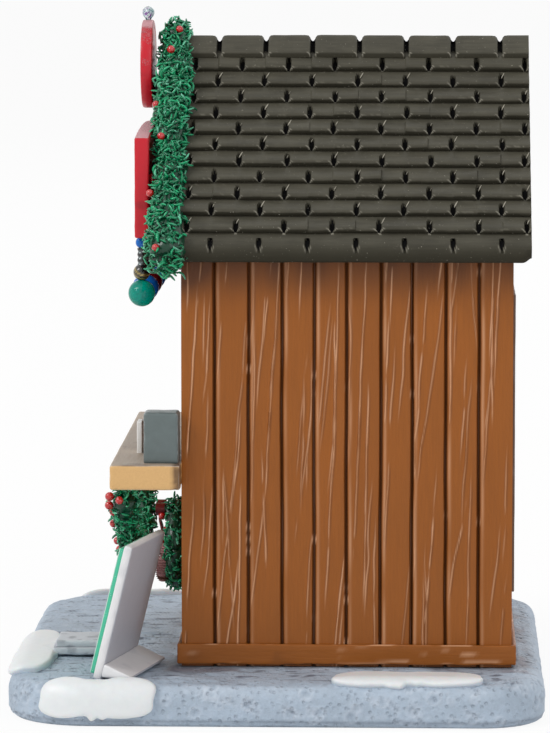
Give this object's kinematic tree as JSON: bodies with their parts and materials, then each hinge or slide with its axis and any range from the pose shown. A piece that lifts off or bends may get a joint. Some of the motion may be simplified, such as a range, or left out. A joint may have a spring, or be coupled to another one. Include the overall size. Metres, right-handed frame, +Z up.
{
  "type": "miniature wooden market hut",
  "caption": "Small painted model of a boarded market hut with a shingled gable roof, serving counter, garlands and red signs, on a moulded stone-look plinth.",
  "frame": {"origin": "middle of the underside of the plinth", "axes": "+Z up, the front with its counter faces -Y, the standing board is on the +X side"},
  "size_m": [0.125, 0.1146, 0.1488],
  "materials": {
    "plinth_stone": "painted resin, satin, pitted stone texture, blue-grey with a purplish wash",
    "pad_stone": "painted resin, matt pale grey",
    "snow_paint": "painted resin, smooth creamy white, satin",
    "wall_paint": "painted resin carved as boards, brown, satin",
    "panel_paint": "painted resin, matt greyish brown",
    "roof_paint": "painted resin carved as shingles, olive grey, satin with fine glints",
    "counter_paint": "painted resin, ochre edge and greyish-beige top, satin",
    "cash_grey": "painted resin, grey, satin",
    "card_white": "painted resin, white, satin",
    "sign_red": "painted resin, red, glossy, pale pink glitter along the upper edge",
    "bracket_black": "painted resin, black, satin",
    "glass_bulb": "clear coloured glass, glossy",
    "garland_green": "tinsel-like leaves, green, glossy, with red berries",
    "bow_red": "painted resin, dark red, glossy",
    "ornament_glass": "small glossy ornaments, blue, black and green",
    "board_white": "painted resin, white, satin",
    "board_green": "painted resin, mint green with glitter",
    "board_grey": "painted resin, plain grey, matt"
  },
  "bodies": {
    "root": {"plinth": "plinth_stone", "stone_pad": "pad_stone", "snow_front": "snow_paint", "snow_right_edge": "snow_paint", "snow_right_sill": "snow_paint", "snow_left_edge": "snow_paint", "snow_left_sill": "snow_paint", "sill_right": "wall_paint", "sill_left": "wall_paint", "sill_front": "wall_paint", "sill_back": "wall_paint", "wall_right": "wall_paint", "wall_left": "wall_paint", "wall_back": "wall_paint", "back_panel": "panel_paint", "front_lower_wall": "wall_paint", "front_post_right": "wall_paint", "front_post_left": "wall_paint", "front_gable": "wall_paint", "roof_right": "roof_paint", "roof_left": "roof_paint", "ridge_cap": "roof_paint", "counter": "counter_paint", "cash_box": "cash_grey", "price_card": "card_white", "name_board": "sign_red", "name_board_bracket": "bracket_black", "round_sign": "sign_red", "round_sign_bracket": "bracket_black", "sign_finial": "glass_bulb", "garland_right": "garland_green", "garland_left": "garland_green", "counter_garland": "garland_green", "wreath": "garland_green", "wreath_bow": "bow_red", "ornament_outer_right": "ornament_glass", "ornament_inner_right": "ornament_glass", "ornament_middle": "ornament_glass", "ornament_inner_left": "ornament_glass", "ornament_outer_left": "ornament_glass", "stand_back": "board_white", "stand_face": "board_green", "stand_foot": "board_grey"}
  },
  "joints": []
}
